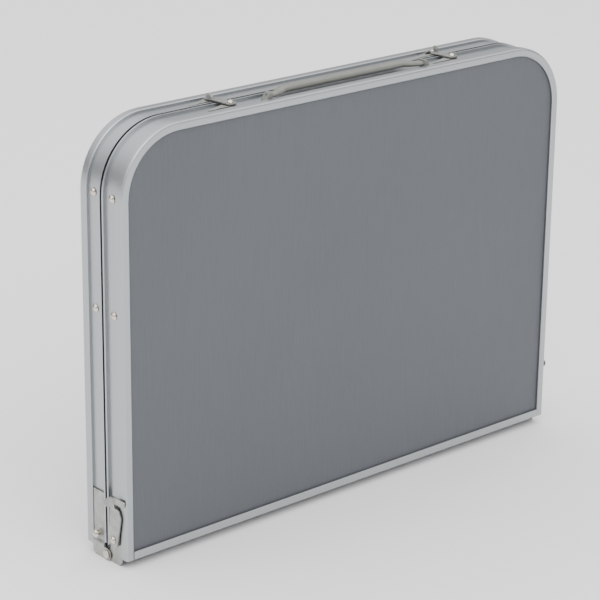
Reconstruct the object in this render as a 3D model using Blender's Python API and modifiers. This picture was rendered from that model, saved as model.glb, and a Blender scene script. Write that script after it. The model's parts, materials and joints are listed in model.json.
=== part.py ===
"""Folding table that closes like a suitcase, modelled closed and standing on its hinge edge.

Two shallow halves, each a tabletop panel in an aluminium frame, are hinged along the
bottom edge. Telescopic leg frames with folding stays lie inside. Units are metres.
X runs along the table's width, Y through the closed case and Z up. The rear half is at
+Y, the front half at -Y, and each half's tabletop faces outwards.
"""
import math

import bmesh
import bpy
from mathutils import Matrix, Vector

OBJECT_NAME = "folding_table"

# ---- driving dimensions -------------------------------------------------------------
WIDTH = 0.600               # over the frame's beads
HALF_HEIGHT = 0.445         # one half, from its hinge edge to its far edge
HALF_DEPTH = 0.034          # from the tabletop side to the parting plane
CORNER_RADIUS = 0.070
GAP = 0.0003                # between pieces that touch

# ---- frame rail section -------------------------------------------------------------
RIM_FACE = 0.0089           # width of the rim seen from the tabletop side
RIM_THICKNESS = 0.0027      # the rim stands this proud of the slot
BEAD_COVER = 0.0010         # the rail's outstanding bead reaches this far past the seat
BEAD_HEIGHT = 0.0030        # and how far it stands above the web
BEAD_WALL = 0.0015
BEAD_ROUND = 0.0025
WEB_THICKNESS = 0.0015
SEAT_THICKNESS = 0.0012     # flange behind the panel
LIP_THICKNESS = 0.0024
LIP_HEIGHT = 0.0027         # above the web
PARTING_GAP = 0.0015        # from a lip to the parting plane
PANEL_THICKNESS = 0.0050
TRIM_FACE = 0.0086          # hinge-edge trim, seen from the tabletop side
CORNER_STEPS = 14

# ---- hinge ---------------------------------------------------------------------------
HINGE_DROP = 0.0035         # hinge axis below the halves' edges
EAR_RADIUS = 0.0065         # plates end this far below the hinge axis
PLATE_THICKNESS = 0.0015
PLATE_TOP = 0.072           # above the floor
PLATE_LOW_EDGE = 0.0195     # flat bottom edge, from the parting plane
PLATE_CORNER_RISE = 0.0045
LIP_CUT = 0.0080            # lips stop this far above the halves' edges
HINGE_PIN_RADIUS = 0.0024
HINGE_HEAD_RADIUS = 0.0046
HINGE_HEAD_HEIGHT = 0.0012
JOGGLE_LOW = 0.0155         # the rear plate steps out between these two heights
JOGGLE_HIGH = 0.0183

# ---- rivets ---------------------------------------------------------------------------
RIVET_RADIUS = 0.0022
RIVET_HEAD_RADIUS = 0.0046
RIVET_HEAD_HEIGHT = 0.0025

# ---- latches that lock the open table --------------------------------------------------
LATCH_PIVOT_DEPTH = 0.0141  # from the parting plane
LATCH_PIVOT_RISE = 0.0179   # above the front half's edge
STUD_DEPTH = 0.0155
STUD_RISE = 0.0142          # above the rear half's edge
LATCH_THICKNESS = 0.0014
LATCH_STANDOFF = 0.0023     # lever above the front hinge plate
LATCH_END_RADIUS = 0.0078
LATCH_HOOK_SET = 0.0050     # slot centre, forward of the lever's pivot line
LATCH_SLOT_PLAY = 0.0004
LATCH_ARM = 0.0140          # hook arm beyond the slot centre
LATCH_ARM_WIDTH = 0.0068
LATCH_TAB_REACH = 0.0090
LATCH_TAB_WIDTH = 0.0130
LATCH_TAB_FORWARD = -0.0004  # middle of the tab's bend, forward of the pivot line
LATCH_TAB_RISE = 0.0023     # and above the slot's centre
LATCH_TAB_LEAN = 64         # bend line, degrees up from the forward direction
LATCH_TAB_BEND = 55         # degrees out of the lever's plane

# ---- clasps that hold the closed case ----------------------------------------------------
CLASP_X = 0.1515
CLASP_PIVOT_DEPTH = 0.0145
CLASP_STUD_DEPTH = 0.0115
CLASP_STUD_SHIFT = -0.0043  # both studs sit this far along X from their pivots
CLASP_BASE_HEIGHT = 0.0026
CLASP_BASE_RADIUS = 0.0062
CLASP_BASE_REACH = 0.0287   # from the pad to the tip
CLASP_BASE_TIP = 0.0006
HOOK_THICKNESS = 0.0013
HOOK_RISE = 0.0034          # underside above the web
HOOK_END_RADIUS = 0.0058
HOOK_PIN_RADIUS = 0.0018
HOOK_HEAD_RADIUS = 0.0033
HOOK_TAB = 0.0068

# ---- handle ---------------------------------------------------------------------------
HANDLE_REACH = 0.1035       # half of its length
HANDLE_AXIS_DEPTH = 0.0185
HANDLE_AXIS_RISE = 0.0048   # above the web
HANDLE_OFFSET = 0.0085      # grip's centre line beyond the axis
HANDLE_WIDE = 0.0120
HANDLE_THICK = 0.0076
HANDLE_ARCH = 0.0012
HANDLE_BEND = 0.022         # length of each cranked end
HANDLE_LEAD = 0.004         # straight start at each end
HANDLE_PIN_RADIUS = 0.0017
MOUNT_LENGTH = 0.0085
MOUNT_WIDTH = 0.0085
MOUNT_TOP = 0.0030          # length of the mount's level top

# ---- legs ------------------------------------------------------------------------------
LEG_PIVOT_DROP = 0.069      # below the half's far edge
PIVOT_BEHIND_TOP = 0.0190   # leg and stay pivots, from the tabletop side
FOOT_CLEARANCE = 0.076      # closed-up leg's foot, above the half's edge
LEG_TOP = 0.0050            # tube above the pivot
LEG_CAP = 0.0015
OUTER_RADIUS = 0.0090
TUBE_WALL = 0.0012
MID_WALL = 0.0011
TUBE_PLAY = 0.0003
OUTER_SHORT = 0.050         # how far each tube ends above the foot's sole
MID_SHORT = 0.028
INNER_SHORT = 0.008
MID_START = 0.014           # both from the pivot
INNER_START = 0.018
FOOT_RADIUS = 0.0086
FOOT_LENGTH = 0.020
CROSSBAR_RADIUS = 0.0060
UPPER_CROSSBAR = 0.045      # from the pivot
LEG_PASS = 0.0026           # room between a rear leg and a front leg that cross

# ---- folding stays ------------------------------------------------------------------------
STAY_RISE = 0.119           # leg pivot above the stay's frame pivot
STAY_LEG_SHARE = 0.6        # stay's pin on the leg, as a share of the leg's length
STAY_WIDTH = 0.010
STAY_THICKNESS = 0.0020
STAY_PLAY = 0.0004
STAY_PIN_RADIUS = 0.0022

# ---- worked out ----------------------------------------------------------------------------
REAR, FRONT = 1, -1
LEFT, RIGHT = -1, 1
SIDES = {"left": LEFT, "right": RIGHT}
ENDS = {"rear": REAR, "front": FRONT}
AXIS_Z = EAR_RADIUS
EDGE_Z = AXIS_Z + HINGE_DROP
TOP_Z = EDGE_Z + HALF_HEIGHT
SLOT_BACK = RIM_THICKNESS + PANEL_THICKNESS + 2 * GAP
SEAT_BACK = SLOT_BACK + SEAT_THICKNESS
BEAD_WIDTH = SEAT_BACK + BEAD_COVER
WEB_X = WIDTH / 2 - BEAD_HEIGHT
WEB_TOP = TOP_Z - BEAD_HEIGHT
WEB_INSIDE = WEB_X - WEB_THICKNESS
LEG_Z = TOP_Z - LEG_PIVOT_DROP
STAY_Z = LEG_Z - STAY_RISE
PIVOT_DEPTH = HALF_DEPTH - PIVOT_BEHIND_TOP
MID_RADIUS = OUTER_RADIUS - TUBE_WALL - TUBE_PLAY
INNER_RADIUS = MID_RADIUS - MID_WALL - TUBE_PLAY
LEG_LENGTH = HALF_HEIGHT - LEG_PIVOT_DROP - FOOT_CLEARANCE
OUTER_END = LEG_LENGTH - OUTER_SHORT
MID_END = LEG_LENGTH - MID_SHORT
INNER_END = LEG_LENGTH - INNER_SHORT
STAY_ON_LEG = LEG_LENGTH * STAY_LEG_SHARE
PLATE_INNER = WEB_X + GAP
PLATE_OUTER = PLATE_INNER + PLATE_THICKNESS
EAR_INNER = PLATE_OUTER + GAP
EAR_OUTER = EAR_INNER + PLATE_THICKNESS
LATCH_INNER = PLATE_OUTER + LATCH_STANDOFF
LATCH_OUTER = LATCH_INNER + LATCH_THICKNESS
PLATE_NEAR = PARTING_GAP + LIP_THICKNESS + 2 * GAP
PLATE_FAR = HALF_DEPTH - BEAD_WIDTH - 2 * GAP
STUD_RADIUS = RIVET_RADIUS
LATCH_AXIS = Vector((-LATCH_PIVOT_DEPTH, EDGE_Z + LATCH_PIVOT_RISE))
LATCH_REACH = math.hypot(STUD_DEPTH - LATCH_PIVOT_DEPTH,
                         STUD_RISE + LATCH_PIVOT_RISE + 2 * HINGE_DROP)
HOOK_REACH = math.hypot(CLASP_STUD_SHIFT, CLASP_STUD_DEPTH + CLASP_PIVOT_DEPTH)
HOOK_LEAN = math.atan2(-CLASP_STUD_SHIFT, CLASP_STUD_DEPTH + CLASP_PIVOT_DEPTH)
FRAME_BAR_OUTER = WEB_INSIDE - STAY_PLAY
FRAME_BAR_INNER = FRAME_BAR_OUTER - STAY_THICKNESS
LEG_BAR_OUTER = FRAME_BAR_INNER - STAY_PLAY
LEG_BAR_INNER = LEG_BAR_OUTER - STAY_THICKNESS
STAY_SPAN = math.hypot(STAY_RISE, STAY_ON_LEG)
FRAME_BAR = (STAY_SPAN - (STAY_ON_LEG - STAY_RISE)) / 2
LEG_BAR = (STAY_SPAN + (STAY_ON_LEG - STAY_RISE)) / 2
REAR_LEG_X = LEG_BAR_INNER - STAY_PLAY - OUTER_RADIUS
LEG_X = {"rear": REAR_LEG_X, "front": REAR_LEG_X - 2 * OUTER_RADIUS - LEG_PASS}


# ---- helpers --------------------------------------------------------------------------------
def clear_scene():
    for item in list(bpy.data.objects):
        bpy.data.objects.remove(item)


def new_collection(name, hidden=False):
    made = bpy.data.collections.new(name)
    bpy.context.scene.collection.children.link(made)
    made.hide_render = hidden
    return made


def new_material(name, colour, roughness, metallic):
    made = bpy.data.materials.new(name)
    made.use_nodes = True
    shader = made.node_tree.nodes["Principled BSDF"]
    shader.inputs["Base Color"].default_value = (*colour, 1)
    shader.inputs["Roughness"].default_value = roughness
    shader.inputs["Metallic"].default_value = metallic
    return made


def arc(centre, radius, start, stop, steps):
    """Points along an arc, angles in degrees."""
    turns = [math.radians(start + (stop - start) * i / steps) for i in range(steps + 1)]
    return [(centre[0] + radius * math.cos(a), centre[1] + radius * math.sin(a)) for a in turns]


def add_mesh(name, mesh, collection, location=(0, 0, 0)):
    made = bpy.data.objects.new(name, mesh)
    made.location = location
    collection.objects.link(made)
    return made


def closed(mesh, angle=35):
    """Weld a mesh, point its faces out and shade its round faces smooth."""
    work = bmesh.new()
    work.from_mesh(mesh)
    bmesh.ops.remove_doubles(work, verts=work.verts, dist=1e-6)
    bmesh.ops.recalc_face_normals(work, faces=work.faces)
    work.to_mesh(mesh)
    work.free()
    mesh.shade_smooth()
    mesh.set_sharp_from_angle(angle=math.radians(angle))
    return mesh


def mesh_from_curve(curve, bevel=None):
    """Turn curve data into a closed mesh, and remove the curve."""
    helper = bpy.data.objects.new("helper", curve)
    bpy.context.scene.collection.objects.link(helper)
    view = bpy.context.evaluated_depsgraph_get()
    mesh = bpy.data.meshes.new_from_object(helper.evaluated_get(view))
    bpy.data.objects.remove(helper)
    if bevel:
        bpy.data.objects.remove(bevel)
    return closed(mesh)


def flat_solid(loops, low, high, plane):
    """Extrude flat loops between two levels. In plane YZ they are (y, z) and the levels are x,
    in plane XZ they are (x, z) and the levels are y, in plane XY (x, y) and z."""
    curve = bpy.data.curves.new("outline", "CURVE")
    curve.dimensions = "2D"
    curve.fill_mode = "BOTH"
    curve.extrude = abs(high - low) / 2
    for loop in loops:
        spline = curve.splines.new("POLY")
        spline.points.add(len(loop) - 1)
        spline.use_cyclic_u = True
        for point, (u, v) in zip(spline.points, loop):
            point.co = (u, v, 0, 1)
    mesh = mesh_from_curve(curve)
    middle = (low + high) / 2
    turn = {"YZ": Matrix(((0, 0, 1, middle), (1, 0, 0, 0), (0, 1, 0, 0), (0, 0, 0, 1))),
            "XZ": Matrix(((1, 0, 0, 0), (0, 0, -1, middle), (0, 1, 0, 0), (0, 0, 0, 1))),
            "XY": Matrix(((1, 0, 0, 0), (0, 1, 0, 0), (0, 0, 1, middle), (0, 0, 0, 1)))}
    mesh.transform(turn[plane])
    return mesh


def turned(profile, steps, direction):
    """Turn a profile of (radius, height) round a direction, with a Screw modifier.
    The profile runs down its outer side from the axis to the axis."""
    mesh = bpy.data.meshes.new("profile")
    ends = [(r, 0, h) for r, h in profile]
    mesh.from_pydata(ends, [(i, i + 1) for i in range(len(ends) - 1)], [])
    helper = bpy.data.objects.new("helper", mesh)
    bpy.context.scene.collection.objects.link(helper)
    screw = helper.modifiers.new("Screw", "SCREW")
    screw.steps = screw.render_steps = steps
    screw.use_merge_vertices = True
    screw.merge_threshold = 0.00001
    view = bpy.context.evaluated_depsgraph_get()
    mesh = bpy.data.meshes.new_from_object(helper.evaluated_get(view))
    bpy.data.objects.remove(helper)
    mesh.transform(Vector(direction).to_track_quat("Z", "Y").to_matrix().to_4x4())
    return closed(mesh)


def rod(radius, low, high):
    return [(0, high), (radius, high), (radius, low), (0, low)]


def pipe(name, radius, hole, low, high, centre, steps=20):
    """An open tube that stands along Z."""
    outer = [arc((0, 0), r, 0, 360, steps)[:-1] for r in (radius, hole)]
    return add_mesh(name, flat_solid(outer, low, high, "XY"), PARTS, centre)


def boolean(part, tool, operation):
    """Keep an exact Boolean live on the part, with its tool in the tools' collection."""
    step = part.modifiers.new(operation.title(), "BOOLEAN")
    step.operation = operation
    step.solver = "EXACT"
    step.object = tool
    tool.hide_render = True
    tool.display_type = "WIRE"


def drill(part, points, radius, low, high, steps=12):
    """Cut holes that run along X between two levels, at points given as (y, z)."""
    for y, z in points:
        mesh = turned(rod(radius, low, high), steps, (1, 0, 0))
        boolean(part, add_mesh(part.name + "_hole", mesh, TOOLS, (0, y, z)), "DIFFERENCE")


def rivet(name, profile, centre, direction, material, steps=14):
    made = add_mesh(name, turned(profile, steps, direction), PARTS, centre)
    return finish(made, material)


def dome(radius, height, base, steps=3):
    """Head profile from its crown down to its rim, standing on a base level."""
    ball = (radius * radius + height * height) / (2 * height)
    half = math.asin(radius / ball)
    return [(ball * math.sin(half * i / steps),
             base + height - ball + ball * math.cos(half * i / steps)) for i in range(steps + 1)]


def finish(made, material):
    """Give a piece its material, and merge the tiny edges that its cuts leave."""
    if made.modifiers:
        weld = made.modifiers.new("Weld", "WELD")
        weld.merge_threshold = 0.00002
    made.data.materials.clear()
    made.data.materials.append(material)
    return made


def hang(made, parent):
    """Parent a piece and keep its place. Parents are never turned."""
    made.parent = parent
    made.matrix_parent_inverse = Matrix.Translation(-Vector(parent.location))
    return made


def axis_empty(name, location, parent=None):
    made = bpy.data.objects.new(name, None)
    made.empty_display_size = 0.02
    made.location = location
    PARTS.objects.link(made)
    if parent:
        hang(made, parent)
    return made


def depth(end, distance):
    """Y of a plane this far from the parting plane, in the rear or front half."""
    return end * distance


# ---- the two halves ---------------------------------------------------------------------------
def rail_path():
    """Centre line of the bead's outer edge: up, round, across, round and down."""
    half, radius = WIDTH / 2, CORNER_RADIUS
    left = arc((-half + radius, TOP_Z - radius), radius, 180, 90, CORNER_STEPS)
    right = arc((half - radius, TOP_Z - radius), radius, 90, 0, CORNER_STEPS)
    return [(-half, EDGE_Z)] + left + right + [(half, EDGE_Z)]


def rail_section():
    """Rail section as (inwards from the bead, depth from the tabletop side)."""
    slot, seat = SLOT_BACK, SEAT_BACK
    web_back = BEAD_HEIGHT + WEB_THICKNESS
    lip_out = BEAD_HEIGHT - LIP_HEIGHT
    inner = HALF_DEPTH - PARTING_GAP
    small = BEAD_ROUND / 3
    return (arc((BEAD_ROUND, BEAD_ROUND), BEAD_ROUND, 180, 270, 3)
            + [(RIM_FACE - small, 0), (RIM_FACE, small), (RIM_FACE, RIM_THICKNESS),
               (BEAD_WALL, RIM_THICKNESS), (BEAD_WALL, slot), (RIM_FACE, slot), (RIM_FACE, seat),
               (web_back, seat), (web_back, inner), (lip_out, inner),
               (lip_out, inner - LIP_THICKNESS), (BEAD_HEIGHT, inner - LIP_THICKNESS),
               (BEAD_HEIGHT, BEAD_WIDTH), (small, BEAD_WIDTH), (0, BEAD_WIDTH - small)])


def sweep(path, section, end):
    """Sweep the rail section along its path, which lies in a plane across the case."""
    profile = bpy.data.curves.new("section", "CURVE")
    profile.dimensions = "2D"
    spline = profile.splines.new("POLY")
    spline.points.add(len(section) - 1)
    spline.use_cyclic_u = True
    for point, (inwards, back) in zip(spline.points, section):
        point.co = (inwards, back, 0, 1)
    guide = bpy.data.objects.new("section", profile)
    bpy.context.scene.collection.objects.link(guide)
    curve = bpy.data.curves.new("path", "CURVE")
    curve.dimensions = "2D"
    curve.bevel_mode = "OBJECT"
    curve.bevel_object = guide
    curve.use_fill_caps = True
    spline = curve.splines.new("POLY")
    spline.points.add(len(path) - 1)
    for point, (x, z) in zip(spline.points, path):
        point.co = (x, z, 0, 1)
    mesh = mesh_from_curve(curve, guide)
    # the path's plane stands up, and depth runs from the tabletop side to the parting plane
    mesh.transform(Matrix(((1, 0, 0, 0), (0, 0, -end, end * HALF_DEPTH), (0, 1, 0, 0), (0, 0, 0, 1))))
    return closed(mesh)


def frame_rail(end_name, end):
    rail = add_mesh(end_name + "_frame_rail", sweep(rail_path(), rail_section(), end), PARTS)
    for side in SIDES.values():
        low, high = sorted((side * (WEB_INSIDE - 0.002), side * (WIDTH / 2 + 0.001)))
        y = depth(end, PIVOT_DEPTH)
        points = [(y, LEG_Z), (y, STAY_Z)]
        if end == REAR:
            points.append((STUD_DEPTH, EDGE_Z + STUD_RISE))
        else:
            points.append(tuple(LATCH_AXIS))
        drill(rail, points, RIVET_RADIUS + GAP, low, high)
    # the lips stop short of the hinge, to leave room for its ears
    outer, inner = depth(end, PARTING_GAP - GAP), depth(end, PARTING_GAP + LIP_THICKNESS)
    loop = [(outer, EDGE_Z - 0.002), (inner, EDGE_Z - 0.002),
            (inner, EDGE_Z + LIP_CUT), (outer, EDGE_Z + LIP_CUT)]
    for side in SIDES.values():
        near, far = sorted((side * (WEB_X + GAP / 3), side * (WIDTH / 2 + 0.001)))
        cutter = add_mesh(rail.name + "_lip_cut", flat_solid([loop], near, far, "YZ"), TOOLS)
        boolean(rail, cutter, "DIFFERENCE")
    return finish(rail, ALUMINIUM)


def edge_trim(end_name, end):
    """Channel that closes the panel's hinge edge, between the rail's two ends."""
    slot, seat = SLOT_BACK, SEAT_BACK
    loop = [(0, 0), (0, TRIM_FACE), (RIM_THICKNESS, TRIM_FACE), (RIM_THICKNESS, BEAD_WALL),
            (slot, BEAD_WALL), (slot, TRIM_FACE), (seat, TRIM_FACE), (seat, 0)]
    loop = [(end * (HALF_DEPTH - back), EDGE_Z + up) for back, up in loop]
    reach = WIDTH / 2 - RIM_FACE - GAP
    made = add_mesh(end_name + "_edge_trim", flat_solid([loop], -reach, reach, "YZ"), PARTS)
    return finish(made, ALUMINIUM)


def top_panel(end_name, end):
    half = WIDTH / 2 - BEAD_WALL - GAP
    top = TOP_Z - BEAD_WALL - GAP
    low = EDGE_Z + BEAD_WALL + GAP
    radius = CORNER_RADIUS - BEAD_WALL - GAP
    loop = ([(-half, low)] + arc((-half + radius, top - radius), radius, 180, 90, CORNER_STEPS)
            + arc((half - radius, top - radius), radius, 90, 0, CORNER_STEPS) + [(half, low)])
    face = end * (HALF_DEPTH - RIM_THICKNESS - GAP)
    back = face - end * PANEL_THICKNESS
    made = add_mesh(end_name + "_top_panel", flat_solid([loop], *sorted((face, back)), "XZ"), PARTS)
    return finish(made, LAMINATE)


def ear(end):
    """The rounded ear round the hinge axis, from its top round to the floor."""
    turn = arc((0, AXIS_Z), EAR_RADIUS, 90, 270 if end == REAR else -90, 12)
    return turn


def hinge_plate(end_name, end, side_name, side):
    near, far = depth(end, PLATE_NEAR), depth(end, PLATE_FAR)
    loop = ([(far, PLATE_TOP), (near, PLATE_TOP), (near, AXIS_Z + EAR_RADIUS)] + ear(end)
            + [(depth(end, PLATE_LOW_EDGE), 0), (far, PLATE_CORNER_RISE)])
    name = end_name + "_hinge_plate_" + side_name
    if end == FRONT:
        low, high = sorted((side * PLATE_INNER, side * PLATE_OUTER))
        plate = add_mesh(name, flat_solid([loop], low, high, "YZ"), PARTS)
        holes = [tuple(LATCH_AXIS)]
    else:
        low, high = sorted((side * (PLATE_INNER - 0.001), side * (EAR_OUTER + 0.001)))
        plate = add_mesh(name, flat_solid([loop], low, high, "YZ"), PARTS)
        top = PLATE_TOP + 0.002
        sheet = [(PLATE_INNER, top), (PLATE_OUTER, top), (PLATE_OUTER, JOGGLE_HIGH),
                 (EAR_OUTER, JOGGLE_LOW), (EAR_OUTER, -0.002), (EAR_INNER, -0.002),
                 (EAR_INNER, JOGGLE_LOW), (PLATE_INNER, JOGGLE_HIGH)]
        sheet = [(side * x, z) for x, z in sheet]
        bent = flat_solid([sheet], -HALF_DEPTH, HALF_DEPTH, "XZ")
        boolean(plate, add_mesh(name + "_sheet", bent, TOOLS), "INTERSECT")
        holes = [(STUD_DEPTH, EDGE_Z + STUD_RISE)]
    low, high = sorted((side * (PLATE_INNER - 0.001), side * (EAR_OUTER + 0.001)))
    drill(plate, holes, RIVET_RADIUS + GAP, low, high)
    drill(plate, [(0, AXIS_Z)], HINGE_PIN_RADIUS + GAP, low, high)
    return finish(plate, STEEL)


def side_rivet(name, side, y, z, head_base, tail, material, shoulder=None):
    """Domed rivet through a side web. A shoulder is (radius, outer level, inner level)."""
    profile = dome(RIVET_HEAD_RADIUS, RIVET_HEAD_HEIGHT, head_base)
    profile += [(RIVET_RADIUS, head_base)]
    if shoulder:
        radius, outer, inner = shoulder
        profile += [(RIVET_RADIUS, outer), (radius, outer), (radius, inner), (RIVET_RADIUS, inner)]
    profile += [(RIVET_RADIUS, tail), (0, tail)]
    return rivet(name, profile, (0, y, z), (side, 0, 0), material)


def side_rivets(end_name, end, side_name, side):
    y = depth(end, PIVOT_DEPTH)
    head = WEB_X + GAP
    tube_face = LEG_X[end_name] + OUTER_RADIUS
    tail = LEG_X[end_name] - OUTER_RADIUS - 2 * GAP
    spacer = (RIVET_RADIUS * 1.8, WEB_INSIDE - GAP, tube_face + GAP)
    made = [side_rivet(end_name + "_leg_pivot_" + side_name, side, y, LEG_Z, head, tail,
                       NICKEL, spacer),
            side_rivet(end_name + "_stay_pivot_" + side_name, side, y, STAY_Z, head,
                       FRAME_BAR_INNER - GAP / 2, NICKEL)]
    return made


def latch_stud(side_name, side):
    """Headed stud on the rear half that the open table's latch hooks round."""
    neck = LATCH_OUTER + GAP
    profile = dome(RIVET_HEAD_RADIUS, RIVET_HEAD_HEIGHT, neck)
    profile += [(STUD_RADIUS, neck), (STUD_RADIUS, WEB_INSIDE), (0, WEB_INSIDE)]
    return rivet("rear_latch_stud_" + side_name, profile,
                 (0, STUD_DEPTH, EDGE_Z + STUD_RISE), (side, 0, 0), NICKEL)


def hinge_pin(side_name, side):
    head = EAR_OUTER + GAP
    top = head + HINGE_HEAD_HEIGHT
    soft = HINGE_HEAD_HEIGHT / 3
    profile = [(0, top), (HINGE_HEAD_RADIUS - soft, top), (HINGE_HEAD_RADIUS, top - soft),
               (HINGE_HEAD_RADIUS, head), (HINGE_PIN_RADIUS, head),
               (HINGE_PIN_RADIUS, WEB_X - GAP), (0, WEB_X - GAP)]
    return rivet("hinge_pin_" + side_name, profile, (0, 0, AXIS_Z), (side, 0, 0), NICKEL)


def latch_pivot(side_name, side):
    """Shouldered rivet that carries the latch lever clear of the hinge plate."""
    head = LATCH_OUTER + GAP
    profile = dome(RIVET_HEAD_RADIUS, RIVET_HEAD_HEIGHT, head)
    profile += [(RIVET_RADIUS, head), (RIVET_RADIUS, LATCH_INNER - GAP),
                (RIVET_HEAD_RADIUS, LATCH_INNER - GAP), (RIVET_HEAD_RADIUS, PLATE_OUTER + GAP),
                (RIVET_RADIUS, PLATE_OUTER + GAP), (RIVET_RADIUS, WEB_INSIDE), (0, WEB_INSIDE)]
    return rivet("latch_pivot_" + side_name, profile, (0, *LATCH_AXIS), (side, 0, 0), NICKEL)


def tab_bend():
    """Middle and direction of the tab's bend line, as (towards the front, up from the pivot)."""
    lean = math.radians(LATCH_TAB_LEAN)
    rise = math.sqrt(LATCH_REACH ** 2 - LATCH_HOOK_SET ** 2) + LATCH_TAB_RISE
    return Vector((LATCH_TAB_FORWARD, rise)), Vector((math.cos(lean), math.sin(lean)))


def latch_outline():
    """Lever outline as (towards the front, up from the pivot), with a hook slot near its end."""
    slot = STUD_RADIUS + LATCH_SLOT_PLAY
    rise = math.sqrt(LATCH_REACH ** 2 - LATCH_HOOK_SET ** 2)
    mouth = LATCH_HOOK_SET + LATCH_END_RADIUS
    low, high = rise - slot, rise + slot
    seat = [(a, b) for a, b in arc((LATCH_HOOK_SET, rise), slot, 270, 90, 8)]
    tip = LATCH_HOOK_SET + LATCH_ARM
    top = high + LATCH_ARM_WIDTH
    middle, along = tab_bend()
    half = LATCH_TAB_WIDTH / 2
    bend = [tuple(middle - along * half), tuple(middle + along * half)]
    return (arc((0, 0), LATCH_END_RADIUS, 180, 345, 10)
            + [(LATCH_END_RADIUS + 0.0045, rise * 0.55), (LATCH_END_RADIUS + 0.0055, rise * 0.7),
               (LATCH_END_RADIUS + 0.0045, rise * 0.79), (mouth - 0.0025, low - 0.0012),
               (mouth - 0.0045, low)]
            + seat
            + [(tip - 0.0022, high - 0.0006), (tip, high + 0.0015), (tip, top - 0.0012),
               (tip - 0.0015, top), (bend[1][0], top), bend[1], bend[0],
               (-0.0052, bend[0][1] - 0.002), (-0.0058, rise * 0.4)])


def hinge_latch(side_name, side):
    """Lever with a hook slot and a thumb tab bent outwards."""
    y, z = LATCH_AXIS
    hole = arc((0, 0), RIVET_RADIUS + GAP, 0, 360, 12)[:-1]
    loops = [[(-a, b) for a, b in loop] for loop in (latch_outline(), hole)]
    low, high = sorted((side * LATCH_INNER, side * LATCH_OUTER))
    lever = add_mesh("hinge_latch_" + side_name, flat_solid(loops, low, high, "YZ"), PARTS, (0, y, z))
    half = LATCH_TAB_WIDTH / 2
    sink = LATCH_THICKNESS / 3
    tab = ([(-half, -sink)] + arc((0, LATCH_TAB_REACH - half), half, 180, 0, 12) + [(half, -sink)])
    mesh = flat_solid([tab], -LATCH_THICKNESS / 2, LATCH_THICKNESS / 2, "XY")
    # local X of the tab runs along its bend line, and local Y to the rear and outwards
    middle, bend = tab_bend()
    along = Vector((0, -bend[0], bend[1]))
    rearwards = Vector((0, bend[1], bend[0]))
    angle = math.radians(LATCH_TAB_BEND)
    reach = rearwards * math.cos(angle) + Vector((side, 0, 0)) * math.sin(angle)
    place = Vector((side * (LATCH_INNER + LATCH_THICKNESS / 2), -middle[0], middle[1]))
    turn = Matrix((along, reach, along.cross(reach))).transposed().to_4x4()
    mesh.transform(Matrix.Translation(place) @ turn)
    boolean(lever, add_mesh(lever.name + "_tab", closed(mesh), TOOLS, (0, y, z)), "UNION")
    return finish(lever, STEEL)


# ---- clasps on the top ---------------------------------------------------------------------
def clasp_base(name, x, y, studded):
    """Pressed tongue on the web: flush at its tip and raised at its round end. The front ones
    are bored for a pivot, and the rear ones carry a riveted stud."""
    height = CLASP_BASE_HEIGHT
    far = CLASP_BASE_REACH
    slope = math.degrees(math.asin(CLASP_BASE_RADIUS / far))
    loop = arc((0, 0), CLASP_BASE_RADIUS, -90 - slope, 90 + slope, 16) + [(-far, 0)]
    base = add_mesh(name, flat_solid([loop], GAP, height, "XY"), PARTS, (x, y, WEB_TOP))
    ramp_end = -CLASP_BASE_RADIUS
    wedge = [(-far - 0.001, CLASP_BASE_TIP), (ramp_end, height), (ramp_end, height + 0.002),
             (-far - 0.001, height + 0.002)]
    mesh = flat_solid([wedge], -0.01, 0.01, "XZ")
    boolean(base, add_mesh(name + "_ramp", mesh, TOOLS, base.location), "DIFFERENCE")
    if studded:
        stud = turned(clasp_pin_profile(False), 20, (0, 0, 1))
        boolean(base, add_mesh(name + "_stud", stud, TOOLS, base.location), "UNION")
    else:
        hole = turned(rod(HOOK_PIN_RADIUS + GAP, -0.001, height + 0.001), 16, (0, 0, 1))
        boolean(base, add_mesh(name + "_hole", hole, TOOLS, base.location), "DIFFERENCE")
    return finish(base, STEEL)


def clasp_pin_profile(shoulder):
    """Upright pin with a domed head, on which a hook turns or catches."""
    head = HOOK_RISE + HOOK_THICKNESS + GAP
    profile = dome(HOOK_HEAD_RADIUS, RIVET_HEAD_HEIGHT, head) + [(HOOK_PIN_RADIUS, head)]
    if shoulder:
        profile += [(HOOK_PIN_RADIUS, HOOK_RISE - GAP), (HOOK_END_RADIUS - 0.0012, HOOK_RISE - GAP),
                    (HOOK_END_RADIUS - 0.0012, CLASP_BASE_HEIGHT + GAP / 2),
                    (HOOK_PIN_RADIUS, CLASP_BASE_HEIGHT + GAP / 2)]
    foot = GAP if shoulder else CLASP_BASE_HEIGHT / 2
    return profile + [(HOOK_PIN_RADIUS, foot), (0, foot)]


def clasp_pivot(side_name, side):
    return rivet("clasp_pivot_" + side_name, clasp_pin_profile(True),
                 (side * CLASP_X, -CLASP_PIVOT_DEPTH, WEB_TOP), (0, 0, 1), NICKEL)


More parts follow.
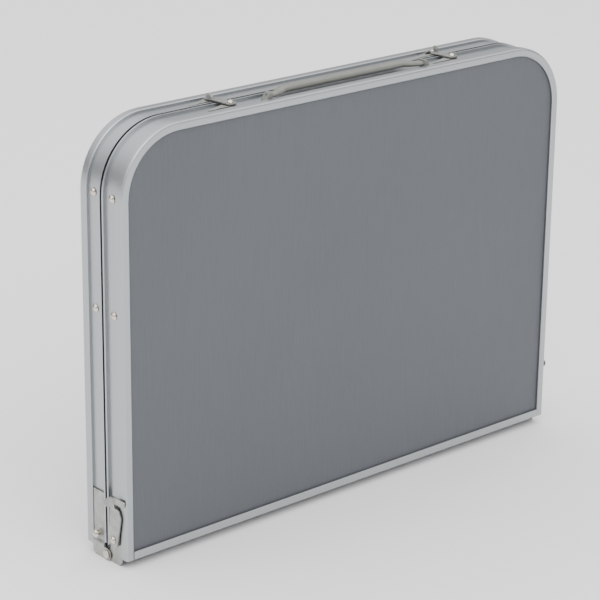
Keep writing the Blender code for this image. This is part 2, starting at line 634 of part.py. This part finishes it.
def clasp_hook(side_name, side):
    """Short hook across the parting line. Its slot opens towards the table's middle."""
    slot = HOOK_PIN_RADIUS + LATCH_SLOT_PLAY
    reach = HOOK_REACH
    half = HOOK_END_RADIUS - 0.0008
    seat = arc((0, reach), slot, 270, 90, 8)
    loop = (arc((0, 0), HOOK_END_RADIUS, 180, 360, 12)
            + [(half, reach * 0.45), (half + 0.0008, reach - slot - 0.003), (half, reach - slot)]
            + seat
            + [(half + 0.0012, reach + slot), (half + 0.0016, reach + slot + 0.001),
               (half - 0.0014, reach + slot + 0.0042), (-half * 0.3, reach + slot + 0.0046),
               (-half, reach + slot + 0.001), (-half, reach * 0.4)])
    hole = arc((0, 0), HOOK_PIN_RADIUS + GAP, 0, 360, 12)[:-1]
    inwards = -side
    loops = [[(inwards * a, b) for a, b in part] for part in (loop, hole)]
    mesh = flat_solid(loops, HOOK_RISE, HOOK_RISE + HOOK_THICKNESS, "XY")
    centre = (side * CLASP_X, -CLASP_PIVOT_DEPTH, WEB_TOP)
    hook = add_mesh("clasp_hook_" + side_name, mesh, PARTS, centre)
    hook.rotation_euler = (0, 0, HOOK_LEAN)
    wide = HOOK_TAB / 2
    tab = [(-wide, 0), (wide, 0)] + arc((0, HOOK_TAB - wide), wide, 0, 180, 12)
    foot = reach - 0.0015
    tab = [(foot + a, HOOK_RISE + HOOK_THICKNESS / 3 + b) for a, b in tab]
    low, high = sorted((side * (half - HOOK_THICKNESS), side * half))
    mesh = flat_solid([tab], low, high, "YZ")
    tool = add_mesh(hook.name + "_tab", mesh, TOOLS, centre)
    tool.rotation_euler = hook.rotation_euler
    boolean(hook, tool, "UNION")
    return finish(hook, STEEL)


# ---- handle ------------------------------------------------------------------------------------
def handle_path():
    """Grip's centre line from the axis out and along, as a smooth arch."""
    points = [(-HANDLE_REACH, 0, 0)]
    steps = 22
    bent = HANDLE_REACH - HANDLE_LEAD
    for i in range(steps + 1):
        x = bent * (2 * i / steps - 1)
        share = min((bent - abs(x)) / HANDLE_BEND, 1)
        ease = share * share * (3 - 2 * share)
        points.append((x, HANDLE_OFFSET * ease, HANDLE_ARCH * ease))
    return points + [(HANDLE_REACH, 0, 0)]


def carry_handle():
    oval = bpy.data.curves.new("oval", "CURVE")
    oval.dimensions = "2D"
    spline = oval.splines.new("POLY")
    steps = 12
    spline.points.add(steps - 1)
    spline.use_cyclic_u = True
    for i, point in enumerate(spline.points):
        turn = 2 * math.pi * i / steps
        point.co = (HANDLE_WIDE / 2 * math.cos(turn), HANDLE_THICK / 2 * math.sin(turn), 0, 1)
    guide = bpy.data.objects.new("oval", oval)
    bpy.context.scene.collection.objects.link(guide)
    curve = bpy.data.curves.new("grip", "CURVE")
    curve.dimensions = "3D"
    curve.twist_mode = "Z_UP"
    curve.bevel_mode = "OBJECT"
    curve.bevel_object = guide
    curve.use_fill_caps = True
    path = handle_path()
    spline = curve.splines.new("POLY")
    spline.points.add(len(path) - 1)
    for i, (point, (x, y, z)) in enumerate(zip(spline.points, path)):
        point.co = (x, y, z, 1)
        point.radius = 0.62 + 0.38 * min(1, min(i, len(path) - 1 - i) / 4)
    mesh = mesh_from_curve(curve, guide)
    centre = (0, -HANDLE_AXIS_DEPTH, WEB_TOP + HANDLE_AXIS_RISE)
    made = add_mesh("carry_handle", mesh, PARTS, centre)
    for side_name, side in SIDES.items():
        far = HANDLE_REACH + GAP + MOUNT_LENGTH * 0.6
        low, high = sorted((side * (HANDLE_REACH - 0.006), side * far))
        pin = turned(rod(HANDLE_PIN_RADIUS, low, high), 12, (1, 0, 0))
        boolean(made, add_mesh("carry_handle_pin_" + side_name, pin, TOOLS, centre), "UNION")
    return finish(made, PLASTIC)


def handle_mount(side_name, side):
    """Wedge-shaped end mount with a bore for the handle's pin."""
    start = HANDLE_REACH + GAP
    top = HANDLE_AXIS_RISE + HANDLE_PIN_RADIUS + 0.0020
    loop = [(side * (start + along), WEB_TOP + up) for along, up in
            ((0, GAP), (0, top), (MOUNT_TOP, top), (MOUNT_LENGTH, 0.0012), (MOUNT_LENGTH, GAP))]
    low = -HANDLE_AXIS_DEPTH - MOUNT_WIDTH / 2
    mesh = flat_solid([loop], low, low + MOUNT_WIDTH, "XZ")
    made = add_mesh("handle_mount_" + side_name, mesh, PARTS)
    reach = sorted((side * (start - 0.001), side * (start + MOUNT_LENGTH * 0.6 + GAP)))
    drill(made, [(-HANDLE_AXIS_DEPTH, WEB_TOP + HANDLE_AXIS_RISE)], HANDLE_PIN_RADIUS + GAP, *reach)
    return finish(made, PLASTIC)


# ---- legs ---------------------------------------------------------------------------------------
def leg_frame(end_name, end):
    """Two outer tubes welded to two crossbars, with a pin for each stay."""
    y = depth(end, PIVOT_DEPTH)
    inset = LEG_X[end_name]
    centre = Vector((0, y, LEG_Z))
    steps = 20
    bore = OUTER_RADIUS - TUBE_WALL
    frame = None
    for side in SIDES.values():
        profile = [(0, LEG_TOP), (OUTER_RADIUS - 0.001, LEG_TOP), (OUTER_RADIUS, LEG_TOP - 0.001),
                   (OUTER_RADIUS, -OUTER_END), (bore, -OUTER_END), (bore, LEG_TOP - LEG_CAP),
                   (0, LEG_TOP - LEG_CAP)]
        mesh = turned(profile, steps, (0, 0, 1))
        mesh.transform(Matrix.Translation((side * inset, 0, 0)))
        if frame is None:
            frame = add_mesh(end_name + "_leg_frame", mesh, PARTS, centre)
        else:
            boolean(frame, add_mesh(frame.name + "_tube", mesh, TOOLS, centre), "UNION")
    wall = TUBE_WALL / 2
    for down in (UPPER_CROSSBAR, STAY_ON_LEG):
        reach = inset - OUTER_RADIUS + wall
        bar = turned(rod(CROSSBAR_RADIUS, -reach, reach), 14, (1, 0, 0))
        place = centre - Vector((0, 0, down))
        boolean(frame, add_mesh(frame.name + "_crossbar", bar, TOOLS, place), "UNION")
    for side in SIDES.values():
        low, high = sorted((side * (inset + OUTER_RADIUS - wall), side * (LEG_BAR_OUTER - GAP / 2)))
        pin = turned(rod(STAY_PIN_RADIUS, low, high), 12, (1, 0, 0))
        place = centre - Vector((0, 0, STAY_ON_LEG))
        boolean(frame, add_mesh(frame.name + "_stay_pin", pin, TOOLS, place), "UNION")
        low, high = sorted((side * (inset - OUTER_RADIUS - 0.001),
                            side * (inset + OUTER_RADIUS + 0.001)))
        drill(frame, [(centre.y, centre.z)], RIVET_RADIUS + GAP, low, high)
    return finish(frame, TUBE)


def leg_sections(end_name, end, side_name, side):
    """Middle tube, inner tube and foot of one telescopic leg."""
    centre = (side * LEG_X[end_name], depth(end, PIVOT_DEPTH), LEG_Z)
    label = "_" + side_name
    mid = pipe(end_name + "_leg_mid_tube" + label, MID_RADIUS, MID_RADIUS - MID_WALL,
               -MID_END, -MID_START, centre)
    inner = pipe(end_name + "_leg_inner_tube" + label, INNER_RADIUS, INNER_RADIUS - TUBE_WALL,
                 -INNER_END, -INNER_START, centre)
    low = -LEG_LENGTH
    bore = INNER_RADIUS + GAP
    soft = 0.0012
    profile = [(0, -INNER_END - GAP), (bore, -INNER_END - GAP), (bore, low + FOOT_LENGTH),
               (FOOT_RADIUS - soft, low + FOOT_LENGTH), (FOOT_RADIUS, low + FOOT_LENGTH - soft),
               (FOOT_RADIUS, low + soft), (FOOT_RADIUS - soft, low), (0, low)]
    foot = rivet(end_name + "_foot" + label, profile, centre, (0, 0, 1), RUBBER, 20)
    finish(mid, TUBE)
    finish(inner, TUBE)
    return mid, inner, foot


def bar_outline(length):
    """Flat bar from (0, 0) to (length, 0) with round ends and a hole at its start."""
    half = STAY_WIDTH / 2
    loop = arc((0, 0), half, 90, 270, 8) + arc((length, 0), half, -90, 90, 8)
    hole = arc((0, 0), STAY_PIN_RADIUS + GAP, 0, 360, 12)[:-1]
    return [[(v, u) for u, v in part] for part in (loop, hole)]


def stay_bars(end_name, end, side_name, side):
    """Short bar on the frame and long bar on the leg, folded up side by side."""
    y = depth(end, PIVOT_DEPTH)
    low, high = sorted((side * FRAME_BAR_INNER, side * FRAME_BAR_OUTER))
    short = add_mesh(end_name + "_stay_frame_bar_" + side_name,
                     flat_solid(bar_outline(FRAME_BAR), low, high, "YZ"), PARTS, (0, y, STAY_Z))
    low, high = sorted((side * LEG_BAR_INNER, side * LEG_BAR_OUTER))
    long = add_mesh(end_name + "_stay_leg_bar_" + side_name,
                    flat_solid(bar_outline(LEG_BAR), low, high, "YZ"), PARTS,
                    (0, y, LEG_Z - STAY_ON_LEG))
    return finish(short, STEEL), finish(long, STEEL)


def build():
    fold = axis_empty("case_fold_axis", (0, 0, AXIS_Z))
    for end_name, end in ENDS.items():
        fixed = [frame_rail(end_name, end), edge_trim(end_name, end), top_panel(end_name, end)]
        legs = leg_frame(end_name, end)
        for side_name, side in SIDES.items():
            fixed.append(hinge_plate(end_name, end, side_name, side))
            fixed += side_rivets(end_name, end, side_name, side)
            mid, inner, foot = leg_sections(end_name, end, side_name, side)
            short, long = stay_bars(end_name, end, side_name, side)
            hang(mid, legs)
            hang(inner, mid)
            hang(foot, inner)
            hang(long, legs)
            fixed.append(short)
            x = side * CLASP_X
            if end == FRONT:
                fixed += [clasp_base("front_clasp_base_" + side_name, x, -CLASP_PIVOT_DEPTH, False),
                          clasp_pivot(side_name, side), clasp_hook(side_name, side),
                          hinge_pin(side_name, side), latch_pivot(side_name, side),
                          hinge_latch(side_name, side), handle_mount(side_name, side)]
            else:
                x += CLASP_STUD_SHIFT
                clasp_base("rear_clasp_base_" + side_name, x, CLASP_STUD_DEPTH, True)
                latch_stud(side_name, side)
        if end == FRONT:
            fixed += [carry_handle(), legs]
            for piece in fixed:
                hang(piece, fold)


clear_scene()
PARTS = new_collection(OBJECT_NAME)
TOOLS = new_collection("cutters", hidden=True)
ALUMINIUM = new_material("aluminium_frame", (0.66, 0.68, 0.70), 0.38, 1.0)
LAMINATE = new_material("grey_laminate", (0.19, 0.21, 0.23), 0.45, 0.0)
STEEL = new_material("zinc_steel", (0.42, 0.42, 0.41), 0.42, 1.0)
NICKEL = new_material("nickel_rivet", (0.72, 0.67, 0.60), 0.18, 1.0)
TUBE = new_material("aluminium_tube", (0.72, 0.73, 0.74), 0.32, 1.0)
PLASTIC = new_material("grey_plastic", (0.36, 0.36, 0.34), 0.55, 0.0)
RUBBER = new_material("black_rubber", (0.03, 0.03, 0.03), 0.75, 0.0)
build()
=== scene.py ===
"""Looks of a folding table, closed like a suitcase and standing on its hinge edge.

Metres, X along the width, Y through the case, Z up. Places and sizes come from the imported
frame. The rear half lies at +Y and the front half at -Y; left is -X.
"""
import json
import math

import bpy
from bpy.props import FloatProperty, FloatVectorProperty, PointerProperty
from mathutils import Matrix, Vector


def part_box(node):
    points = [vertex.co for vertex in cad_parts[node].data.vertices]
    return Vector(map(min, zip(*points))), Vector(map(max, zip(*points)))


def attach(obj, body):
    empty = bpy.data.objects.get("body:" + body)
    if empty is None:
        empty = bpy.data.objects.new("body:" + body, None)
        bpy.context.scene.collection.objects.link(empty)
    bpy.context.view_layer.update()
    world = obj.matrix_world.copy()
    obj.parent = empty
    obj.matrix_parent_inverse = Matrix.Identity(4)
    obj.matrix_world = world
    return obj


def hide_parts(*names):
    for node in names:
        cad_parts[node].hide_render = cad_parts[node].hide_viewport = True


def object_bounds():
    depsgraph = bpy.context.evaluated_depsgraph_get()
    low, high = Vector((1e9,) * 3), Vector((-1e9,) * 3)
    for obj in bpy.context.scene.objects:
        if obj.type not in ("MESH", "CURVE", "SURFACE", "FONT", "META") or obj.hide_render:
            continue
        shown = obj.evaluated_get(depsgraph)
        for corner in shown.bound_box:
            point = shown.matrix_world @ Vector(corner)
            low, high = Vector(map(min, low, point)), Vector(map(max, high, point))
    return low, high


bl_info = {
    "name": "Folding table looks",
    "version": (1, 0, 0),
    "blender": (4, 5, 0),
    "location": "View3D > Sidebar > Folding table",
    "description": "Finishes, fittings and studio of a folding table",
    "category": "Object",
}

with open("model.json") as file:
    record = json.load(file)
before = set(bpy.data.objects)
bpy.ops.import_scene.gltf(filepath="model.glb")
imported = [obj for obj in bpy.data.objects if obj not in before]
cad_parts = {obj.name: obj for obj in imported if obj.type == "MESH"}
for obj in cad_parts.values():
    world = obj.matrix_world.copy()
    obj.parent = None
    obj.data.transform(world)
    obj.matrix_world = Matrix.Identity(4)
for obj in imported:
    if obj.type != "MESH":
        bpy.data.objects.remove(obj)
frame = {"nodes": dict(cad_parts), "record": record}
CAD_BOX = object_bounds()

HALF_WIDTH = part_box("front_frame_rail")[1][0]
CORNER_RADIUS = 0.070       # bend of the rails
SOFT_EDGE = 0.00025         # width of a broken metal edge
FLAT_ANGLE = 1              # degrees: faces this level with each other become one
SHARP_ANGLE = 30            # degrees: a steeper edge is broken and stays sharp


# ---- shader maths ------------------------------------------------------------------------
class Wire:
    """A shader socket that takes part in Python arithmetic."""

    def __init__(self, finish, socket):
        self.finish = finish
        self.socket = socket

    def maths(self, operation, *values):
        return self.finish.node("ShaderNodeMath", {"operation": operation},
                                {i: value for i, value in enumerate(values)})

    def __add__(self, other):
        return self.maths("ADD", self, other)

    def __radd__(self, other):
        return self.maths("ADD", other, self)

    def __sub__(self, other):
        return self.maths("SUBTRACT", self, other)

    def __rsub__(self, other):
        return self.maths("SUBTRACT", other, self)

    def __mul__(self, other):
        return self.maths("MULTIPLY", self, other)

    def __rmul__(self, other):
        return self.maths("MULTIPLY", other, self)

    def step(self, low, high):
        """Nought below one value, one above another, and smooth between them."""
        return self.finish.node("ShaderNodeMapRange", {"interpolation_type": "SMOOTHSTEP"},
                                {"Value": self, "From Min": low, "From Max": high}, "Result")


class Finish:
    """A node material with its Principled shader."""

    def __init__(self, name, world=None):
        self.material = world or bpy.data.materials.new(name)
        self.material.use_nodes = True
        self.tree = self.material.node_tree
        self.shader = self.tree.nodes["Background" if world else "Principled BSDF"]
        self.texture_place = self.tree.nodes.new("ShaderNodeTexCoord")
        self.place = Wire(self, self.texture_place.outputs["Object"])

    def node(self, kind, settings=None, sockets=None, output=0):
        """Add a node with its settings and the values or links of its sockets."""
        made = self.tree.nodes.new(kind)
        for name, value in (settings or {}).items():
            setattr(made, name, value)
        for name, value in (sockets or {}).items():
            self.feed(made.inputs[name], value)
        return Wire(self, made.outputs[output])

    def feed(self, socket, value):
        if isinstance(value, Wire):
            self.tree.links.new(value.socket, socket)
        elif socket.type == "RGBA":
            socket.default_value = (*value, 1)
        else:
            socket.default_value = value

    def set(self, **values):
        for name, value in values.items():
            self.feed(self.shader.inputs[name.replace("_", " ").title()], value)
        return self

    def stretched(self, scale):
        return self.node("ShaderNodeMapping", None, {"Vector": self.place, "Scale": scale})

    def noise(self, scale, detail=2.0, roughness=0.5):
        """Noise on the object's own coordinates, with the scale as one number or one per axis."""
        where = self.place
        if isinstance(scale, tuple):
            where, scale = self.stretched(scale), 1.0
        return self.node("ShaderNodeTexNoise", None,
                         {"Vector": where, "Scale": scale, "Detail": detail,
                          "Roughness": roughness})

    def blend(self, factor, first, second):
        """Mix two colours."""
        made = self.tree.nodes.new("ShaderNodeMix")
        made.data_type = "RGBA"
        for socket, value in ((made.inputs[0], factor), (made.inputs[6], first),
                              (made.inputs[7], second)):
            self.feed(socket, value)
        return Wire(self, made.outputs[2])

    def bump(self, height, distance, strength=1.0):
        made = self.node("ShaderNodeBump", None,
                         {"Height": height, "Distance": distance, "Strength": strength})
        self.feed(self.shader.inputs["Normal"], made)
        return self

    def axes(self, space="Object"):
        split = self.tree.nodes.new("ShaderNodeSeparateXYZ")
        self.tree.links.new(self.texture_place.outputs[space], split.inputs[0])
        return [Wire(self, out) for out in split.outputs]


def shade(colour, share):
    return tuple(min(1, part * share) for part in colour)


# ---- finishes ----------------------------------------------------------------------------
class FINISH_PG_table(bpy.types.PropertyGroup):
    """Colours of the table's materials."""
    frame_colour: FloatVectorProperty(
        name="Frame", description="Satin anodised rails", subtype="COLOR", size=3,
        default=(0.415, 0.432, 0.448), min=0, max=1)
    panel_colour: FloatVectorProperty(
        name="Tabletop", description="Streaked laminate", subtype="COLOR", size=3,
        default=(0.080, 0.086, 0.097), min=0, max=1)
    steel_colour: FloatVectorProperty(
        name="Fittings", description="Zinc-plated plates, hooks and stays", subtype="COLOR",
        size=3, default=(0.38, 0.38, 0.365), min=0, max=1)
    rivet_colour: FloatVectorProperty(
        name="Rivets", description="Nickel-plated rivets", subtype="COLOR", size=3,
        default=(0.66, 0.60, 0.52), min=0, max=1)
    tube_colour: FloatVectorProperty(
        name="Legs", description="Drawn aluminium tube", subtype="COLOR", size=3,
        default=(0.60, 0.61, 0.62), min=0, max=1)
    handle_colour: FloatVectorProperty(
        name="Handle", description="Moulded plastic", subtype="COLOR", size=3,
        default=(0.17, 0.17, 0.155), min=0, max=1)
    foot_colour: FloatVectorProperty(
        name="Feet", description="Rubber", subtype="COLOR", size=3,
        default=(0.028, 0.028, 0.03), min=0, max=1)


def satin_aluminium(colour):
    """Extruded rail: faint drawing lines run along it, round the corners too."""
    made = Finish("satin_aluminium")
    x, y, z = made.axes()
    sides = made.node("ShaderNodeMath", {"operation": "ABSOLUTE"}, {0: x}).step(
        HALF_WIDTH - CORNER_RADIUS, HALF_WIDTH - CORNER_RADIUS / 3)
    across = made.noise((6, 900, 900), 3)
    upright = made.noise((900, 900, 6), 3)
    lines = across * (1 - sides) + upright * sides
    cloud = made.noise(9, 3)
    scuff = made.noise(140, 5, 0.7).step(0.62, 0.78)
    made.set(metallic=1.0, base_color=made.blend(lines * 0.5 + cloud * 0.5, shade(colour, 0.92),
                                                 shade(colour, 1.05)),
             roughness=0.30 + lines * 0.12 + scuff * 0.08)
    return made.bump(lines, 0.00002, 0.5).material


def streaked_laminate(colour):
    """Tabletop sheet with fine upright streaks and a soft sheen."""
    made = Finish("streaked_laminate")
    fine = made.noise((1900, 1900, 90), 4, 0.6)
    broad = made.noise((620, 620, 22), 3, 0.6)
    cloud = made.noise(5, 2)
    flecks = made.noise((800, 800, 90), 2).step(0.60, 0.74)
    tone = fine * 0.45 + broad * 0.35 + cloud * 0.20
    base = made.blend(tone.step(0.30, 0.70), shade(colour, 0.90), shade(colour, 1.10))
    base = made.blend(flecks * 0.25, base, shade(colour, 1.35))
    made.set(base_color=base, roughness=0.40 + fine * 0.14, metallic=0.0)
    return made.bump(fine * 0.6 + broad * 0.4, 0.00004, 0.5).material


def zinc_steel(colour):
    """Plated sheet: cloudy, lightly scratched, duller where it is handled."""
    made = Finish("zinc_steel")
    cloud = made.noise(120, 4, 0.6)
    grain = made.noise((260, 260, 2600), 3)
    pits = made.noise(1500, 2).step(0.66, 0.80)
    base = made.blend(cloud.step(0.3, 0.7), shade(colour, 0.82), shade(colour, 1.16))
    made.set(metallic=1.0, base_color=made.blend(pits * 0.5, base, shade(colour, 0.55)),
             roughness=0.28 + cloud * 0.16 + grain * 0.06)
    return made.bump(cloud * 0.5 + grain * 0.5, 0.00003, 0.5).material


def nickel(colour):
    made = Finish("nickel_rivet")
    wear = made.noise(700, 4, 0.6)
    made.set(metallic=1.0, roughness=0.12 + wear * 0.14,
             base_color=made.blend(wear.step(0.35, 0.7), shade(colour, 1.12), shade(colour, 0.80)))
    return made.bump(wear, 0.00002, 0.4).material


def drawn_tube(colour):
    made = Finish("drawn_tube")
    lines = made.noise((1500, 1500, 10), 3)
    cloud = made.noise(30, 3)
    made.set(metallic=1.0, roughness=0.24 + lines * 0.14,
             base_color=made.blend(cloud, shade(colour, 0.93), shade(colour, 1.04)))
    return made.bump(lines, 0.00002, 0.5).material


def moulded_plastic(colour):
    made = Finish("moulded_plastic")
    grain = made.noise(2400, 2)
    rub = made.noise(60, 3).step(0.4, 0.7)
    made.set(roughness=0.42 + grain * 0.12 - rub * 0.06, metallic=0.0,
             base_color=made.blend(rub, shade(colour, 0.94), shade(colour, 1.06)))
    return made.bump(grain, 0.00004, 0.6).material


def rubber(colour):
    made = Finish("black_rubber")
    grain = made.noise(1800, 3)
    dust = made.noise(90, 4, 0.7).step(0.5, 0.75)
    made.set(roughness=0.66 + grain * 0.14, metallic=0.0,
             base_color=made.blend(dust * 0.6, colour, shade(colour, 2.1)))
    return made.bump(grain, 0.00005, 0.6).material


FINISHES = {}


def choose_finishes():
    """Make one material for each of the record's slots."""
    picks = bpy.context.scene.table_finish
    for slot, maker, colour in (
            ("aluminium_frame", satin_aluminium, picks.frame_colour),
            ("grey_laminate", streaked_laminate, picks.panel_colour),
            ("zinc_steel", zinc_steel, picks.steel_colour),
            ("nickel_rivet", nickel, picks.rivet_colour),
            ("aluminium_tube", drawn_tube, picks.tube_colour),
            ("grey_plastic", moulded_plastic, picks.handle_colour),
            ("black_rubber", rubber, picks.foot_colour)):
        FINISHES[slot] = maker(tuple(colour))


SLOT_OF = {part["node"]: part["material_slot"] for part in frame["record"]["subparts"]}
BODY_OF = {node: body for body, nodes in frame["record"]["behaviour"]["bodies"].items()
           for node in nodes}


# ---- modelling helpers -------------------------------------------------------------------
def clear_selection():
    if bpy.context.object and bpy.context.object.mode != "OBJECT":
        bpy.ops.object.mode_set(mode="OBJECT")
    bpy.ops.object.select_all(action="DESELECT")


def take(piece):
    """Make a piece the one that operators act on."""
    clear_selection()
    bpy.context.view_layer.objects.active = piece
    piece.select_set(True)


def tidy_mesh(piece):
    """Merge doubles, point the faces outwards and join the level ones."""
    take(piece)
    bpy.ops.object.mode_set(mode="EDIT")
    bpy.ops.mesh.select_mode(type="FACE")
    bpy.ops.mesh.select_all(action="SELECT")
    bpy.ops.mesh.remove_doubles(threshold=0.00001)
    bpy.ops.mesh.select_all(action="SELECT")
    bpy.ops.mesh.normals_make_consistent(inside=False)
    bpy.ops.mesh.dissolve_limited(angle_limit=math.radians(FLAT_ANGLE))
    bpy.ops.object.mode_set(mode="OBJECT")


def apply_modifier(piece, name, kind, **settings):
    step = piece.modifiers.new(name, kind)
    for key, value in settings.items():
        setattr(step, key, value)
    bpy.ops.object.modifier_apply(modifier=step.name)


def softened(node):
    """A copy of a CAD node with broken edges, which stands for the node."""
    piece = frame["nodes"][node].copy()
    piece.data = piece.data.copy()
    piece.name = piece.data.name = node + "_finished"
    bpy.context.collection.objects.link(piece)
    tidy_mesh(piece)
    apply_modifier(piece, "Bevel", "BEVEL", width=SOFT_EDGE, segments=2, limit_method="ANGLE",
                   angle_limit=math.radians(SHARP_ANGLE), miter_outer="MITER_ARC",
                   use_clamp_overlap=True)
    bpy.ops.object.shade_smooth_by_angle(angle=math.radians(SHARP_ANGLE))
    apply_modifier(piece, "Normals", "WEIGHTED_NORMAL", keep_sharp=True, weight=80)
    piece.data.materials.clear()
    piece.data.materials.append(FINISHES[SLOT_OF[node]])
    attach(piece, BODY_OF[node])
    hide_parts(node)


class TableOperator(bpy.types.Operator):
    """Base for the operators that make the table's pieces."""
    bl_options = {"REGISTER", "UNDO"}

    def execute(self, context):
        clear_selection()
        self.make(context)
        clear_selection()
        return {"FINISHED"}


class TABLE_OT_finishes(TableOperator):
    """Mix the table's materials and give every CAD piece its own"""
    bl_idname = "table.finishes"
    bl_label = "Finishes"

    def make(self, context):
        choose_finishes()
        for node, piece in frame["nodes"].items():
            piece.data.materials.clear()
            piece.data.materials.append(FINISHES[SLOT_OF[node]])


# ---- studio --------------------------------------------------------------------------------
class STUDIO_PG_table(bpy.types.PropertyGroup):
    """Camera and light."""
    heading: FloatProperty(name="Heading", description="Turn of the camera about the vertical",
                           subtype="ANGLE", default=math.radians(41.012))
    pitch: FloatProperty(name="Pitch", description="How far the camera looks down",
                         subtype="ANGLE", default=math.radians(20.128))
    roll: FloatProperty(name="Roll", description="Lean of the camera", subtype="ANGLE",
                        default=math.radians(0.673))
    eye: FloatVectorProperty(name="Eye", description="Where the camera stands", size=3,
                             subtype="TRANSLATION", default=(-1.5342, -1.7121, 1.0530))
    lens: FloatProperty(name="Lens", description="Focal length in millimetres", default=138.3)
    floor_size: FloatProperty(name="Floor", description="Side of the square floor",
                              unit="LENGTH", default=60)
    horizon: FloatProperty(name="Horizon", description="Strength of the light from the sides",
                           default=0.28)
    zenith: FloatProperty(name="Zenith", description="Strength of the light from above",
                          default=2.2)
    key_power: FloatProperty(name="Key light", description="Power of the large soft light",
                             default=48)
    fill_power: FloatProperty(name="Fill light", description="Power of the light at the left",
                              default=18)


class TABLE_OT_studio(TableOperator):
    """Lay the floor and set the lights and the camera"""
    bl_idname = "table.studio"
    bl_label = "Studio"

    def make(self, context):
        studio = context.scene.table_studio
        self.floor(studio.floor_size)
        self.sky(context, studio)
        self.lamp("key_light", (-0.9, -2.4, 2.4), 2.6, studio.key_power)
        self.lamp("fill_light", (-3.0, 0.6, 1.6), 2.2, studio.fill_power)
        self.camera(context, studio)

    def floor(self, size):
        bpy.ops.mesh.primitive_plane_add(size=size, location=(0, 0, CAD_BOX[0][2]))
        floor = bpy.context.object
        floor.name = floor.data.name = "studio_floor"
        take(floor)
        bpy.ops.object.transform_apply(location=True, rotation=True, scale=True)
        pale = Finish("pale_floor")
        cloud = pale.noise(0.7, 2)
        pale.set(base_color=pale.blend(cloud, (0.90, 0.90, 0.90), (0.93, 0.93, 0.93)),
                 roughness=0.9)
        floor.data.materials.append(pale.material)

    def sky(self, context, studio):
        """White light that grows from the horizon to overhead."""
        world = bpy.data.worlds.new("studio_sky")
        world.use_nodes = True
        sky = Finish("studio_sky", world)
        towards = sky.axes("Generated")[2]
        glow = towards.step(0.05, 0.85) * (studio.zenith - studio.horizon) + studio.horizon
        sky.feed(sky.shader.inputs["Strength"], glow)
        sky.shader.inputs["Color"].default_value = (1, 1, 1, 1)
        context.scene.world = world

    def lamp(self, name, place, size, power):
        bpy.ops.object.light_add(type="AREA", location=place)
        lamp = bpy.context.object
        lamp.name = name
        lamp.data.size = size
        lamp.data.energy = power
        aim = Vector((0, 0, 0.25)) - Vector(place)
        lamp.rotation_euler = aim.to_track_quat("-Z", "Y").to_euler()

    def camera(self, context, studio):
        level = math.cos(studio.pitch)
        ahead = Vector((math.sin(studio.heading) * level, math.cos(studio.heading) * level,
                        -math.sin(studio.pitch)))
        right = Vector((math.cos(studio.heading), -math.sin(studio.heading), 0))
        up = right.cross(ahead)
        lean = Matrix.Rotation(studio.roll, 4, -ahead)
        axes = Matrix((lean @ right, lean @ up, -ahead)).transposed().to_4x4()
        bpy.ops.object.camera_add()
        camera = bpy.context.object
        camera.name = "studio_camera"
        camera.data.lens = studio.lens
        camera.data.sensor_width = 36
        camera.matrix_world = Matrix.Translation(studio.eye) @ axes
        context.scene.camera = camera


class TABLE_OT_metalwork(TableOperator):
    """Break the edges of the plates, bars, tubes and rivets"""
    bl_idname = "table.metalwork"
    bl_label = "Metalwork"

    def make(self, context):
        for node in frame["nodes"]:
            softened(node)


class TABLE_PT_panel(bpy.types.Panel):
    """The table's pieces, in the order they are made."""
    bl_label = "Folding table"
    bl_idname = "TABLE_PT_panel"
    bl_space_type = "VIEW_3D"
    bl_region_type = "UI"
    bl_category = "Folding table"

    def draw(self, context):
        for group in (context.scene.table_finish, context.scene.table_studio):
            column = self.layout.column()
            for name in group.bl_rna.properties.keys():
                if name not in ("rna_type", "name"):
                    column.prop(group, name)
        for operator in STEPS:
            self.layout.operator(operator.bl_idname)


STEPS = (TABLE_OT_finishes, TABLE_OT_metalwork, TABLE_OT_studio)
GROUPS = {"table_finish": FINISH_PG_table, "table_studio": STUDIO_PG_table}


def register():
    for made in (*GROUPS.values(), *STEPS, TABLE_PT_panel):
        bpy.utils.register_class(made)
    for name, group in GROUPS.items():
        setattr(bpy.types.Scene, name, PointerProperty(type=group))


def unregister():
    for name in GROUPS:
        delattr(bpy.types.Scene, name)
    for made in reversed((*GROUPS.values(), *STEPS, TABLE_PT_panel)):
        bpy.utils.unregister_class(made)


def main():
    register()
    for operator in STEPS:
        category, name = operator.bl_idname.split(".")
        getattr(getattr(bpy.ops, category), name)()


if __name__ == "__main__":
    main()
